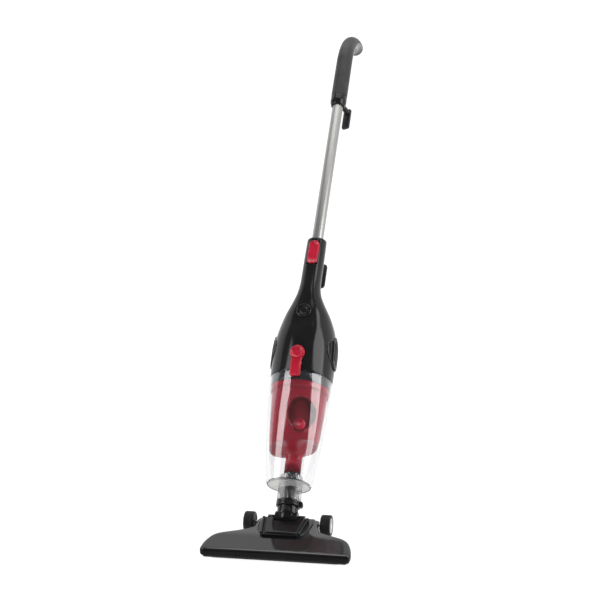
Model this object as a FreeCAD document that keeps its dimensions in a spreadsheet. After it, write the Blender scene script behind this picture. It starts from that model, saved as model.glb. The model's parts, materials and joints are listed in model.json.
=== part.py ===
"""Upright stick vacuum cleaner: a floor head on a free neck hinge, a clear dust cup, a motor unit
with a hand-held neck, and a steel tube with a curled grip.

World frame: millimetres, +Z up, front of the floor head towards -Y, origin on the floor under the
neck hinge. The stick leans back. Its pieces are modelled upright, along their own Z, and then placed.
"""
import FreeCAD, Part
import Sketcher
import math
import os

doc = FreeCAD.newDocument("upright_vacuum")

SIZES = {
    # Floor head
    "head_half": 133, "head_front": -110, "head_back": 24, "sole_z": 3, "plate_thick": 4,
    "lip_z": 20, "wing_z": 25, "block_z": 28, "block_half": 49, "slot_half": 21, "slot_front": -21,
    "slot_floor": 10, "cheek_thick": 13, "cheek_top": 39, "cavity_roof": 17,
    "mouth_half": 112, "mouth_front": -93, "mouth_deep": 20, "strip_wide": 5, "glide_half": 30,
    "glide_deep": 7,
    "hood_front": -57, "hood_back": -6, "hood_half_front": 35, "hood_half_back": 42,
    "hood_low": 31, "hood_high": 40,
    # Rear wheels and neck hinge
    "wheel_radius": 19, "wheel_wide": 19, "wheel_inner_x": 61, "wheel_y": 8.4, "hub_radius": 14,
    "axle_radius": 3, "pivot_z": 32, "pin_radius": 3, "running_gap": 0.05,
    # Neck
    "drum_radius": 13, "drum_half": 20.5, "neck_radius": 19, "neck_bore": 15, "neck_foot": 6,
    "collar_low": 21, "collar_high": 32, "collar_radius": 22.5, "spigot_radius": 11.6,
    "spigot_bore": 9.8, "spigot_top": 60, "tab_out": 27, "tab_half": 5,
    # Dust cup
    "cup_back": 15, "cup_low": 55, "cup_high": 259.3, "wall": 2.2, "sleeve_radius": 22,
    "sleeve_top": 79, "pipe_radius": 13.4, "pipe_bore": 12, "pipe_top": 110,
    "shroud_low": 125, "shroud_rim": 242.5, "shroud_wall": 1.8, "red_pipe_low": 84,
    "red_pipe_radius": 15.2, "band_radius": 55.6, "band_top": 258.4, "filter_radius": 36,
    # Motor unit
    "seam": 259.8, "shell": 2.4, "split_y": -12, "bend_z": 422, "bend_y": -24,
    "socket_radius": 16, "socket_low": 52, "socket_top": 136,
    "can_radius": 35, "can_low": 285, "can_high": 350, "shaft_radius": 3, "impeller_radius": 38,
    "power_z": 385, "power_radius": 14, "button_low": 70, "button_high": 123, "button_half": 10.5,
    "latch_low": 246, "latch_high": 308, "latch_half": 10, "latch_round": 14, "latch_pivot": 274,
    "vent_y": 0, "vent_low": 302, "vent_high": 334,
    # Tube and grip
    "tube_radius": 11, "tube_wall": 0.8, "tube_low": 62, "tube_top": 545, "grip_low": 507,
    "curl_start": 606, "curl_radius": 125, "grip_half": 17, "collar_drop": 26,
    "hook_reach": 43, "hook_half": 8.5,
}
LEAN = 42.2         # degrees, cup axis back from upright
TILT = 6.1          # degrees, tube back from the cup axis
TWIST = 20.0        # degrees, grip collar and its hook turned about the tube
CURL = 68.0         # degrees, sweep of the grip's curled end

sheet = doc.addObject("Spreadsheet::Sheet", "Sizes")
for row, (alias, value) in enumerate(SIZES.items(), start=1):
    sheet.set(f"A{row}", alias)
    sheet.set(f"B{row}", str(value))
    sheet.setAlias(f"B{row}", alias)
doc.recompute()

subparts = []


# ---------------------------------------------------------------- sizes and frames
def number(words):
    """Value of a size written as aliases and plain numbers joined by + and -."""
    total = 0.0
    sign = 1.0
    for word in str(words).split():
        if word == "+":
            sign = 1.0
        elif word == "-":
            sign = -1.0
        else:
            total += sign * float(SIZES[word] if word in SIZES else word)
            sign = 1.0
    return total


def formula(words):
    """The same size as an expression over the spreadsheet, in millimetres."""
    terms = [f"Sizes.{word}" if word in SIZES else word for word in str(words).split()]
    return "(" + " ".join(terms) + ") * 1 mm"


def turned_frame(y, z, lean, twist=0.0):
    """Placement at (0, y, z) whose own Z leans back by the given angle."""
    tip_back = FreeCAD.Rotation(FreeCAD.Vector(1, 0, 0), -lean)
    spin = FreeCAD.Rotation(FreeCAD.Vector(0, 0, 1), -twist)
    return FreeCAD.Placement(FreeCAD.Vector(0, y, z), tip_back.multiply(spin))


WORLD = FreeCAD.Placement()
NECK = turned_frame(0, number("pivot_z"), LEAN)
CUP = NECK.multiply(FreeCAD.Placement(FreeCAD.Vector(0, -number("cup_back"), 0), FreeCAD.Rotation()))
bend = CUP.multVec(FreeCAD.Vector(0, number("bend_y"), number("bend_z")))
HAND = turned_frame(bend.y, bend.z, LEAN + TILT)
GRIP = turned_frame(bend.y, bend.z, LEAN + TILT, TWIST)
TILTED = FreeCAD.Placement(FreeCAD.Vector(0, number("bend_y"), number("bend_z")),
                           FreeCAD.Rotation(FreeCAD.Vector(1, 0, 0), -TILT))


# ---------------------------------------------------------------- shape helpers
def subpart(shape, label, frame):
    """Name a finished piece, put it in its frame and list it for export."""
    shape.Label = label
    shape.Placement = frame.multiply(shape.Placement)
    subparts.append(shape)
    return shape


def minus(words):
    """The same size with its sign turned."""
    flipped = " ".join({"+": "-", "-": "+"}.get(word, word) for word in str(words).split())
    return f"0 - {flipped}"


def span(low, high):
    """Distance from one size up to another."""
    return f"{high} {minus(low)[2:]}"


def box(name, x, y, z, frame=WORLD):
    """Part::Box between (low, high) size pairs along X, Y and Z of a frame."""
    block = doc.addObject("Part::Box", name)
    for side, (low, high) in zip(("Length", "Width", "Height"), (x, y, z)):
        block.setExpression(side, formula(span(low, high)))
    corner = FreeCAD.Vector(*[number(low) for low, high in (x, y, z)])
    block.Placement = frame.multiply(FreeCAD.Placement(corner, FreeCAD.Rotation()))
    return block


def rod(name, radius, length, at=("0", "0", "0"), along="z", frame=WORLD):
    """Part::Cylinder that starts at a point and runs along X, Y or Z of a frame."""
    bar = doc.addObject("Part::Cylinder", name)
    turn = {"x": FreeCAD.Rotation(FreeCAD.Vector(0, 1, 0), 90),
            "y": FreeCAD.Rotation(FreeCAD.Vector(1, 0, 0), -90),
            "z": FreeCAD.Rotation()}[along]
    start = FreeCAD.Vector(*[number(place) for place in at])
    bar.setExpression("Radius", formula(radius))
    bar.setExpression("Height", formula(length))
    bar.Placement = frame.multiply(FreeCAD.Placement(start, turn))
    return bar


def cut(name, base, *tools):
    """Take each tool out of the base in turn."""
    for index, tool in enumerate(tools):
        step = doc.addObject("Part::Cut", f"{name}_cut{index}")
        step.Base = base
        step.Tool = tool
        step.Refine = False
        base = step
    return base


def fuse(name, *shapes):
    joined = doc.addObject("Part::MultiFuse", name)
    joined.Shapes = list(shapes)
    joined.Refine = True
    return joined


def common(name, base, tool):
    shared = doc.addObject("Part::Common", name)
    shared.Base = base
    shared.Tool = tool
    shared.Refine = False
    return shared


def ground_plane(body, role):
    return next(plane for plane in body.Origin.OriginFeatures if plane.Role == role)


def sketch_on(body, name, role, height="0"):
    """Sketch on one of the body's own origin planes, lifted off it by a size."""
    sketch = body.newObject("Sketcher::SketchObject", name)
    sketch.AttachmentSupport = [(ground_plane(body, role), "")]
    sketch.MapMode = "FlatFace"
    sketch.setExpression(".AttachmentOffset.Base.z", formula(height))
    return sketch


def bind_point(sketch, line, end, across, up):
    """Fix one end of a line at (across, up), each a size word."""
    for kind, words, axis in (("DistanceX", across, -2), ("DistanceY", up, -1)):
        value = number(words)
        if abs(value) < 1e-9:
            sketch.addConstraint(Sketcher.Constraint("PointOnObject", line, end, axis))
        else:
            index = sketch.addConstraint(Sketcher.Constraint(kind, -1, 1, line, end, value))
            sketch.setExpression(f"Constraints[{index}]", formula(words))


def draw_outline(sketch, points):
    """Closed outline of straight lines through (across, up) points."""
    spots = [FreeCAD.Vector(number(across), number(up), 0) for across, up in points]
    for index, spot in enumerate(spots):
        sketch.addGeometry(Part.LineSegment(spot, spots[(index + 1) % len(spots)]))
    for index in range(len(spots)):
        follower = (index + 1) % len(spots)
        sketch.addConstraint(Sketcher.Constraint("Coincident", index, 2, follower, 1))
    for index, (across, up) in enumerate(points):
        bind_point(sketch, index, 1, across, up)


def turned(name, points):
    """PartDesign body turned about Z from an outline of (radius, height) points."""
    body = doc.addObject("PartDesign::Body", name)
    sketch = sketch_on(body, f"{name}_outline", "XZ_Plane")
    draw_outline(sketch, points)
    turn = body.newObject("PartDesign::Revolution", f"{name}_turn")
    turn.Profile = sketch
    turn.ReferenceAxis = (sketch, ["V_Axis"])
    turn.Angle = 360
    return body


def ring(name, bore, radius, low, high):
    return turned(name, [(bore, low), (radius, low), (radius, high), (bore, high)])


def padded(name, role, points, start, length):
    """PartDesign body padded from an outline on an origin plane."""
    body = doc.addObject("PartDesign::Body", name)
    sketch = sketch_on(body, f"{name}_outline", role, start)
    draw_outline(sketch, points)
    pad = body.newObject("PartDesign::Pad", f"{name}_pad")
    pad.Profile = sketch
    pad.setExpression("Length", formula(length))
    return body


def side_profile(name, points, half):
    """Pad of a (y, z) outline across X, centred on X = 0."""
    body = padded(name, "YZ_Plane", points, f"0 - {half}", f"{half} + {half}")
    return body


def lofted(name, stations, inset="0"):
    """Part::Loft through circles given as (height, centre y, radius), each radius less an inset."""
    rings = []
    for index, (height, centre, radius) in enumerate(stations):
        circle = doc.addObject("Part::Circle", f"{name}_ring{index}")
        circle.setExpression("Radius", formula(f"{radius} - {inset}"))
        circle.Placement = FreeCAD.Placement(FreeCAD.Vector(0, number(centre), number(height)), FreeCAD.Rotation())
        rings.append(circle)
    loft = doc.addObject("Part::Loft", name)
    loft.Sections = rings
    loft.Solid = True
    loft.Ruled = True
    return loft


def mirror_x(points):
    """Close a half outline, listed from front to back on the +X side, with its mirror image."""
    other = [(minus(across), up) for across, up in reversed(points)]
    return points + other


# ---------------------------------------------------------------- floor head
def floor_head():
    plan = mirror_x([("head_half - 6", "head_front"), ("head_half", "head_front + 7"),
                     ("head_half - 2", "head_front + 26"), ("head_half - 14", "head_front + 57"),
                     ("88", "head_front + 69"), ("63", "head_front + 84"), ("53", "head_front + 104"),
                     ("block_half + 1", "head_back")])
    top_z = "sole_z + plate_thick"
    cover_plan = padded("cover_plan", "XY_Plane", plan, top_z, "40")
    cover_side = side_profile("cover_side", [
        ("head_front", top_z), ("head_front + 2", "lip_z - 5"), ("head_front + 13", "lip_z"),
        ("hood_front", "wing_z"), ("head_back - 12", "wing_z"), ("head_back", "wing_z - 6"),
        ("head_back", top_z)], "head_half")
    wings = common("cover_wings", cover_plan, cover_side)
    block = padded("cover_block", "YZ_Plane", [
        ("hood_front - 6", top_z), ("hood_front - 6", "wing_z - 1"), ("hood_front", "block_z"),
        ("head_back - 10", "block_z"), ("head_back", "block_z - 8"), ("head_back", top_z)],
        "0 - block_half", "block_half + block_half")
    cheeks = [box(f"cover_cheek{side}", low_high, ("hood_back", "14"), ("wing_z", "cheek_top"))
              for side, low_high in (("_r", ("slot_half", "slot_half + cheek_thick")),
                                     ("_l", ("0 - slot_half - cheek_thick", "0 - slot_half")))]
    cover = fuse("cover_solid", wings, block, *cheeks)
    slot = box("cover_slot", ("0 - slot_half", "slot_half"), ("slot_front", "head_back + 5"),
               ("slot_floor", "cheek_top + 5"))
    chamber = box("cover_chamber", ("0 - mouth_half", "mouth_half"),
                  ("mouth_front - 4", "mouth_front + 42"), (top_z, "cavity_roof"))
    duct = box("cover_duct", ("-17", "17"), ("mouth_front + 30", "slot_front + 5"), (top_z, "wing_z"))
    pin_bore = rod("cover_pin_bore", "pin_radius", "90", ("-45", "0", "pivot_z"), "x")
    axle_bore = rod("cover_axle_bore", "axle_radius", "120", ("-60", "wheel_y", "wheel_radius"), "x")
    gap = box("cover_gap", ("-30", "30"), ("wheel_y - 4", "wheel_y + 4"), ("slot_floor + 1", "28"))
    solid_gap = cut("cover_axle_way", axle_bore, gap)
    subpart(cut("head_cover", cover, slot, chamber, duct, pin_bore, solid_gap), "head_cover", WORLD)

    plate_plan = mirror_x([("head_half - 8", "head_front + 2"), ("head_half - 2", "head_front + 9"),
                           ("head_half - 4", "head_front + 25"), ("head_half - 16", "head_front + 55"),
                           ("86", "head_front + 67"), ("61", "head_front + 82"),
                           ("51", "head_front + 102"), ("block_half - 1", "head_back - 2")])
    plate = padded("plate_pad", "XY_Plane", plate_plan, "sole_z", "plate_thick")
    mouth = box("plate_mouth", ("0 - mouth_half", "mouth_half"), ("mouth_front", "mouth_front + mouth_deep"),
                ("0", "sole_z + plate_thick + 1"))
    subpart(cut("base_plate", plate, mouth), "base_plate", WORLD)

    for label, front in (("front_bristle_strip", "mouth_front - 11"),
                         ("rear_bristle_strip", "mouth_front + mouth_deep + 5")):
        strip = box(label, ("0 - mouth_half", "mouth_half"), (front, f"{front} + strip_wide"), ("0", "sole_z"))
        subpart(strip, label, WORLD)
    glide = box("glide", ("0 - glide_half", "glide_half"), ("0 - glide_deep", "glide_deep"), ("0", "sole_z"))
    subpart(glide, "glide_strip", WORLD)

    hood_plan = padded("hood_plan", "XY_Plane", [
        ("0 - hood_half_front", "hood_front"), ("hood_half_front", "hood_front"),
        ("hood_half_back", "hood_back"), ("slot_half", "hood_back"), ("slot_half", "slot_front"),
        ("0 - slot_half", "slot_front"), ("0 - slot_half", "hood_back"),
        ("0 - hood_half_back", "hood_back")], "block_z", "20")
    hood_side = side_profile("hood_side", [
        ("hood_front", "block_z"), ("hood_front", "hood_low"), ("hood_front + 3", "hood_low + 1.5"),
        ("hood_back", "hood_high"), ("hood_back", "block_z")], "hood_half_back")
    hood = common("hood_solid", hood_plan, hood_side)
    for side, low_high in (("_r", ("slot_half", "slot_half + cheek_thick")),
                           ("_l", ("0 - slot_half - cheek_thick", "0 - slot_half"))):
        hood = cut(f"hood_room{side}", hood, box(f"hood_room_box{side}", low_high,
                                                 ("hood_back", "hood_back + 1"), ("block_z", "cheek_top")))
    subpart(hood, "pivot_hood", WORLD)

    heads = []
    for index, (across, along) in enumerate(((120, -92), (-120, -92), (70, -50), (-70, -50),
                                             (38, 14), (-38, 14))):
        heads.append(rod(f"screw{index}", "2.6", "1.5", (str(across), str(along), "sole_z - 1.5")))
    subpart(fuse("screws", *heads), "sole_screws", WORLD)


def wheel_set(side, sign):
    """Rear wheel, its tyre and axle; sign is +1 on the right."""
    spot = FreeCAD.Placement(FreeCAD.Vector(sign * number("wheel_inner_x"), number("wheel_y"),
                                            number("wheel_radius")),
                             FreeCAD.Rotation(FreeCAD.Vector(0, 1, 0), 90 * sign))
    hub = turned(f"hub_{side}", [
        ("axle_radius + running_gap", "0.5"), ("hub_radius - 0.05", "0.5"),
        ("hub_radius - 0.05", "wheel_wide - 0.5"), ("hub_radius - 3", "wheel_wide - 0.5"),
        ("hub_radius - 4", "wheel_wide - 3"), ("axle_radius + 4", "wheel_wide - 3"),
        ("axle_radius + running_gap", "wheel_wide - 3")])
    subpart(hub, f"wheel_hub_{side}", spot)
    tyre = turned(f"rim_{side}", [
        ("hub_radius", "0"), ("wheel_radius - 1.5", "0"), ("wheel_radius", "1.5"),
        ("wheel_radius", "wheel_wide - 1.5"), ("wheel_radius - 1.5", "wheel_wide"),
        ("hub_radius", "wheel_wide")])
    subpart(tyre, f"wheel_tyre_{side}", spot)
    axle = turned(f"pin_{side}", [
        ("0", "-22"), ("axle_radius - 0.02", "-22"), ("axle_radius - 0.02", "wheel_wide - 2.6"),
        ("axle_radius + 3", "wheel_wide - 2.6"), ("axle_radius + 3", "wheel_wide - 0.6"),
        ("0", "wheel_wide - 0.6")])
    subpart(axle, f"wheel_axle_{side}", spot)
    cheek_x = "slot_half - 5.5" if sign > 0 else "0 - slot_half - 14"
    pin = rod(f"hinge_pin_{side}", "pin_radius - 0.02", "19.5", (cheek_x, "0", "pivot_z"), "x")
    subpart(pin, f"pivot_pin_{side}", WORLD)


# ---------------------------------------------------------------- neck
def neck():
    tube = turned("neck_turn", [
        ("neck_bore", "neck_foot + 6"), ("neck_bore + 1.5", "neck_foot"), ("neck_radius - 1", "neck_foot"),
        ("neck_radius", "neck_foot + 3"), ("neck_radius", "collar_high"),
        ("spigot_radius", "collar_high"), ("spigot_radius", "spigot_top"),
        ("spigot_bore", "spigot_top"), ("spigot_bore", "collar_high - 3"),
        ("neck_bore", "collar_high - 6")])
    drum = rod("neck_drum", "drum_radius", "drum_half + drum_half", ("0 - drum_half", "0", "0"), "x")
    shoulder = rod("neck_shoulder", "neck_radius - 2.2", "neck_foot + 4", ("0", "0", "2"))
    whole = fuse("neck_whole", tube, drum, shoulder)
    bore = rod("neck_pin_bore", "pin_radius + running_gap", "60", ("-30", "0", "0"), "x")
    window = box("neck_window", ("-14.5", "14.5"), ("-8", "8"), ("-20", "neck_foot + 7"))
    subpart(cut("neck_tube", whole, bore, window), "neck_tube", NECK)
    collar = turned("collar_turn", [
        ("neck_radius + 0.05", "collar_low"), ("collar_radius - 1", "collar_low"),
        ("collar_radius", "collar_low + 1.5"), ("collar_radius", "collar_high - 1"),
        ("collar_radius - 1", "collar_high"), ("neck_radius + 0.05", "collar_high")])
    pocket = box("collar_pocket", ("neck_radius", "tab_out"), ("0 - tab_half - 0.4", "tab_half + 0.4"),
                 ("collar_low - 1", "collar_high + 1"))
    subpart(cut("collar", collar, pocket), "neck_collar", NECK)
    tab = padded("tab_pad", "XZ_Plane", [
        ("collar_radius - 1", "collar_low + 0.5"), ("tab_out - 2", "collar_low + 0.5"),
        ("tab_out", "collar_low + 4"), ("tab_out - 2", "collar_high"),
        ("collar_radius - 1", "collar_high")], "0 - tab_half", "tab_half + tab_half")
    subpart(tab, "head_release_tab", NECK)


# ---------------------------------------------------------------- dust cup and filter
CUP_WALL = [("41.8", "cup_low + 2"), ("48.4", "106"), ("53.4", "152"), ("57", "200"), ("58.5", "cup_high")]


def dust_cup():
    outer = [("40.6", "cup_low")] + CUP_WALL
    inner = [(f"{radius} - wall", height) for radius, height in reversed(CUP_WALL)]
    inner.append(("39.6", "cup_low"))
    shell = turned("cup_turn", outer + inner)
    subpart(shell, "dust_cup", CUP)

    floor = turned("floor_turn", [("0", "cup_low"), ("39.3", "cup_low"), ("39.3", "cup_low + 2.5"),
                                  ("0", "cup_low + 2.5")])
    way = rod("floor_way", "sleeve_radius + 0.1", "10", ("0", "cup_back", "cup_low - 4"))
    subpart(cut("cup_floor", floor, way), "cup_floor", CUP)
    seal = ring("seal_turn", "37.4", "39.3", "cup_low + 2.6", "cup_low + 4.8")
    seal_way = rod("seal_way", "sleeve_radius + 0.5", "10", ("0", "cup_back", "cup_low"))
    subpart(cut("floor_seal", seal, seal_way), "cup_floor_seal", CUP)

    sleeve = ring("sleeve_turn", "sleeve_radius - 1.8", "sleeve_radius", "collar_high + 0.4", "sleeve_top")
    subpart(sleeve, "inlet_sleeve", NECK)
    pipe = ring("pipe_turn", "pipe_bore", "pipe_radius", "collar_high + 0.5", "pipe_top")
    subpart(pipe, "inlet_pipe", NECK)

    wall_line = [("43.5", "shroud_low"), ("47", "152"), ("50", "200"), ("51.5", "229"),
                 ("54.6", "232"), ("54.6", "shroud_rim")]
    inside = [(f"{radius} - shroud_wall", height) for radius, height in reversed(wall_line[1:])]
    shroud = turned("shroud_turn", [("0", "shroud_low")] + wall_line + inside
                    + [("43.5 - shroud_wall", "shroud_low + 2"), ("0", "shroud_low + 2")])
    down_pipe = rod("shroud_pipe", "red_pipe_radius", "shroud_low + 1 - red_pipe_low",
                    ("0", "cup_back", "red_pipe_low"))
    pipe_way = rod("shroud_way", "pipe_radius + 0.15", "60", ("0", "cup_back", "red_pipe_low - 5"))
    window = rod("shroud_window", "15", "40", ("9", "-60", "186"), "y")
    subpart(cut("shroud", fuse("shroud_whole", shroud, down_pipe), pipe_way, window), "vortex_shroud", CUP)

    frame = turned("frame_turn", [
        ("40", "shroud_rim + 0.3"), ("band_radius - 0.5", "shroud_rim + 0.3"), ("band_radius", "band_top"),
        ("40", "band_top")])
    subpart(frame, "filter_frame", CUP)
    foam = rod("foam", "39.7", "11", ("0", "0", "shroud_rim + 3"))
    subpart(foam, "foam_filter", CUP)
    plate = ring("plate_turn", "12", "filter_radius + 1", "142", "145")
    subpart(plate, "filter_end_plate", CUP)
    rim = ring("rim_turn", "50", "band_radius - 0.4", "band_top + 0.1", "cup_high + 0.2")
    subpart(rim, "cup_rim_seal", CUP)

    folds = 32
    inner_radius = number("filter_radius") - 12
    points = []
    for index in range(2 * folds):
        radius = number("filter_radius") if index % 2 == 0 else inner_radius
        angle = math.pi * index / folds
        points.append(FreeCAD.Vector(radius * math.cos(angle), radius * math.sin(angle), 145.1))
    points.append(points[0])
    pleats = Part.Face(Part.makePolygon(points)).extrude(FreeCAD.Vector(0, 0, 96.8))
    core = Part.makeCylinder(inner_radius - 1.5, 120, FreeCAD.Vector(0, 0, 140))
    paper = doc.addObject("Part::Feature", "pleats")
    paper.Shape = pleats.cut(core)
    subpart(paper, "pleated_filter", CUP)


# ---------------------------------------------------------------- motor unit
BODY_RINGS = [("seam", "0", "58.6"), ("280", "1", "59.4"), ("300", "2", "59.8"), ("320", "2.8", "59.8"),
              ("335", "3", "58.8"), ("350", "2.2", "56.4"), ("364", "1", "53.2"), ("378", "-2", "48.6"),
              ("390", "-6", "43.6"), ("400", "-10", "38.4"), ("410", "-14", "33"), ("420", "-17.8", "28"),
              ("430", "-20.5", "24"), ("442", "-21.2", "21.2"), ("455", "-20.6", "20"),
              ("500", "-15.7", "19.6"), ("548", "-10.6", "19"), ("556", "-9.7", "16.5")]
SIDES = (("right", 1), ("left", -1))


def motor_shells(outside):
    """Front and rear halves of the housing, hollow, with their openings."""
    inside = common("body_room", lofted("body_inside", BODY_RINGS, "shell"),
                    box("room_limit", ("-90", "90"), ("-110", "110"), ("seam - 1", "540")))
    tube_way = rod("tube_way", "tube_radius + 0.35", "120", ("0", "0", "socket_low"), "z", TILTED)
    socket_way = rod("socket_way", "socket_radius + 0.15", "socket_top - socket_low - 11.5",
                     ("0", "0", "socket_low"), "z", TILTED)
    hollow = cut("body_hollow", outside, inside, tube_way, socket_way)
    front_half = box("front_half", ("-90", "90"), ("-110", "split_y"), ("200", "620"))
    rear_half = box("rear_half", ("-90", "90"), ("split_y", "110"), ("200", "620"))
    power_way = rod("power_way", "power_radius - 2.6", "30", ("0", "-70", "power_z"), "y")
    button_way = box("button_way", ("0 - button_half - 0.4", "button_half + 0.4"), ("-30", "-12.4"),
                     ("button_low - 0.4", "button_high + 0.4"), TILTED)
    latch_way = box("latch_way", ("0 - latch_half - 0.5", "latch_half + 0.5"), ("-70", "-50"),
                    ("latch_pivot - 5.5", "latch_high - 18"))
    latch_well = rod("latch_well", "latch_round + 0.6", "20", ("0", "-70", "latch_high - latch_round"), "y")
    pin_way = rod("latch_pin_way", "1.52", "26", ("-13", "-55.6", "latch_pivot"), "x")
    front = common("front_shell", hollow, front_half)
    subpart(cut("front_open", front, power_way, button_way, latch_way, latch_well, pin_way), "housing_front", CUP)
    gland_way = rod("gland_way", "5.2", "30", ("0", "0", "-10"), "z", GLAND)
    vents = box("vent_way", ("-90", "90"), ("vent_y - 10", "vent_y + 10"), ("vent_low - 6", "vent_high + 6"))
    rear = common("rear_shell", hollow, rear_half)
    subpart(cut("rear_open", rear, gland_way, vents), "housing_rear", CUP)


def oval(name, radius, start_x, length):
    """Upright oval bar along X, at the height of the exhaust vents."""
    ends = [rod(f"{name}_end{height}", radius, length, (start_x, "vent_y", height), "x")
            for height in ("vent_low", "vent_high")]
    middle = box(f"{name}_middle", (start_x, f"{start_x} + {length}"), (f"vent_y - {radius}", f"vent_y + {radius}"),
                 ("vent_low", "vent_high"))
    return fuse(name, middle, *ends)


def vent_grilles(outside):
    """Oval covers on the housing's flanks, each with upright slots."""
    skin = lofted("vent_skin", BODY_RINGS, "-2.6")
    shell = cut("vent_shell", skin, outside)
    for side, start_x in (("right", "30"), ("left", "-90")):
        cover = common(f"vent_cover_{side}", shell, oval(f"vent_oval_{side}", "17", start_x, "60"))
        slots = [box(f"vent_slot_{side}{index}", (start_x, f"{start_x} + 60"),
                     (f"vent_y - {reach}", f"vent_y - {reach} + 3.2"), (f"vent_low - {rise}", f"vent_high + {rise}"))
                 for index, (reach, rise) in enumerate((("13.6", "2"), ("7.6", "9"), ("1.6", "11"),
                                                        ("-4.4", "9"), ("-10.4", "2")))]
        subpart(cut(f"vent_{side}", cover, *slots), f"vent_grille_{side}", CUP)


def buttons(outside):
    socket = ring("socket_turn", "tube_radius + 0.3", "socket_radius", "socket_low", "socket_top - 12")
    notch = box("socket_notch", ("0 - button_half - 0.4", "button_half + 0.4"), ("-20", "-12.4"),
                ("button_low - 0.4", "button_high + 0.4"))
    subpart(cut("socket", socket, notch), "tube_socket", HAND)
    release = box("release", ("0 - button_half", "button_half"), ("-21.6", "-16.2"),
                  ("button_low", "button_high"))
    subpart(release, "tube_release_button", HAND)

    outward = FreeCAD.Rotation(FreeCAD.Vector(1, 0, 0), 90 - 6)
    face = FreeCAD.Placement(FreeCAD.Vector(0, -50, number("power_z")), outward)
    bezel = turned("bezel_turn", [
        ("power_radius - 2.7", "-4"), ("power_radius", "-4"), ("power_radius", "0.5"),
        ("power_radius - 0.8", "2.5"), ("power_radius - 2.4", "2.5"), ("power_radius - 2.7", "1")])
    bezel.Placement = face
    subpart(cut("bezel", bezel, outside), "power_button_ring", CUP)
    knob = turned("knob_turn", [("0", "-5.5"), ("power_radius - 3.3", "-5.5"), ("power_radius - 3.3", "1.5"),
                                ("power_radius - 4.5", "2.5"), ("0", "1.7")])
    knob.Placement = face
    subpart(knob, "power_button", CUP)
    switch = box("switch", ("-8", "8"), ("-38", "-26"), ("power_z - 12", "power_z + 12"))
    subpart(switch, "power_switch", CUP)


def cup_latch():
    """Rocking latch: a round thumb pad, a stem whose toe holds the cup, and ears on a pin."""
    thumb = rod("latch_thumb", "latch_round", "5.2", ("0", "-64.6", "latch_high - latch_round"), "y")
    stem = box("latch_stem", (minus("latch_half"), "latch_half"), ("-63", "-59.4"),
               ("latch_low", "latch_high - latch_round"))
    ears = box("latch_ears", (minus("latch_half"), "latch_half"), ("-60", "-53"),
               ("latch_pivot - 3.5", "latch_pivot + 3.5"))
    bore = rod("latch_bore", "1.55", "40", ("-20", "-55.6", "latch_pivot"), "x")
    subpart(cut("latch", fuse("latch_whole", thumb, stem, ears), bore), "cup_latch", CUP)
    subpart(rod("latch_rod", "1.5", "26", ("-13", "-55.6", "latch_pivot"), "x"), "latch_pin", CUP)


GLAND = FreeCAD.Placement(FreeCAD.Vector(0, 44.2, 371.2), FreeCAD.Rotation(FreeCAD.Vector(1, 0, 0), -57.4))


def cord_holders():
    gland = turned("gland_turn", [("3.6", "0"), ("5", "0"), ("5", "6"), ("7", "6"), ("6", "9"), ("4.8", "20"),
                                  ("3.6", "20")])
    gland.Placement = GLAND
    subpart(gland, "cord_gland", CUP)
    arm = box("hook_arm", ("-6", "6"), ("19.6", "40"), ("84", "92"))
    plate = box("hook_plate", ("-18", "18"), ("39", "44"), ("52", "109"))
    subpart(fuse("hook_low", arm, plate), "lower_cord_hook", HAND)


def motor_unit():
    outside = lofted("body_outside", BODY_RINGS)
    motor_shells(outside)
    vent_grilles(outside)
    buttons(outside)
    cup_latch()
    cord_holders()


def motor():
    screen = turned("screen_turn", [("0", "262"), ("50", "262"), ("50", "264"), ("0", "264")])
    holes = []
    for count, reach in ((6, 14), (12, 28), (18, 41)):
        for index in range(count):
            angle = 2 * math.pi * index / count
            holes.append(rod(f"screen_hole{reach}_{index}", "4", "10",
                             (str(reach * math.cos(angle)), str(reach * math.sin(angle)), "258")))
    pattern = doc.addObject("Part::MultiFuse", "screen_holes")
    pattern.Shapes = holes
    subpart(cut("screen", screen, pattern), "motor_screen", CUP)
    subpart(turned("scroll_turn", [("14", "268"), ("44", "268"), ("44", "283.5"), ("8.2", "283.5"),
                                   ("8.2", "281.5"), ("42", "281.5"), ("42", "270"), ("14", "270")]),
            "fan_housing", CUP)
    subpart(turned("fan_turn", [("shaft_radius", "271"), ("14", "271"), ("impeller_radius", "273"),
                                ("impeller_radius", "280"), ("shaft_radius", "280")]), "impeller", CUP)
    subpart(turned("rotor_turn", [("0", "270.5"), ("shaft_radius - 0.02", "270.5"),
                                  ("shaft_radius - 0.02", "296"), ("18", "296"), ("18", "334"),
                                  ("shaft_radius - 0.02", "334"), ("shaft_radius - 0.02", "356"), ("0", "356")]),
            "motor_rotor", CUP)
    subpart(ring("stator_turn", "18.6", "can_radius - 2.2", "294", "336"), "motor_stator", CUP)
    subpart(turned("can_turn", [("8.2", "can_low"), ("can_radius", "can_low"), ("can_radius", "can_high"),
                                ("8.2", "can_high"), ("8.2", "can_high - 2"), ("can_radius - 2", "can_high - 2"),
                                ("can_radius - 2", "can_low + 2"), ("8.2", "can_low + 2")]), "motor_can", CUP)
    bearings = [ring(f"bearing{low}", "shaft_radius + 0.03", "8", str(low), str(low + 4.6)) for low in (282, 347)]
    subpart(fuse("bearing_pair", *bearings), "motor_bearings", CUP)
    subpart(ring("mount_low", "44.2", "55", "279", "283.4"), "motor_mount_lower", CUP)
    subpart(ring("mount_top", "can_radius + 0.2", "43", "336", "346"), "motor_mount_upper", CUP)
    brushes = [box(f"brush{low}", (low, high), ("-3", "3"), ("338", "344"))
               for low, high in (("4.5", "14"), ("-14", "-4.5"))]
    subpart(fuse("brush_pair", *brushes), "carbon_brushes", CUP)
    screws = [rod(f"shell_screw{height}", "3", "1.6", ("0", "62.4", height), "y") for height in ("300", "335")]
    subpart(fuse("shell_screws", *screws), "housing_screws", CUP)


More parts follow.
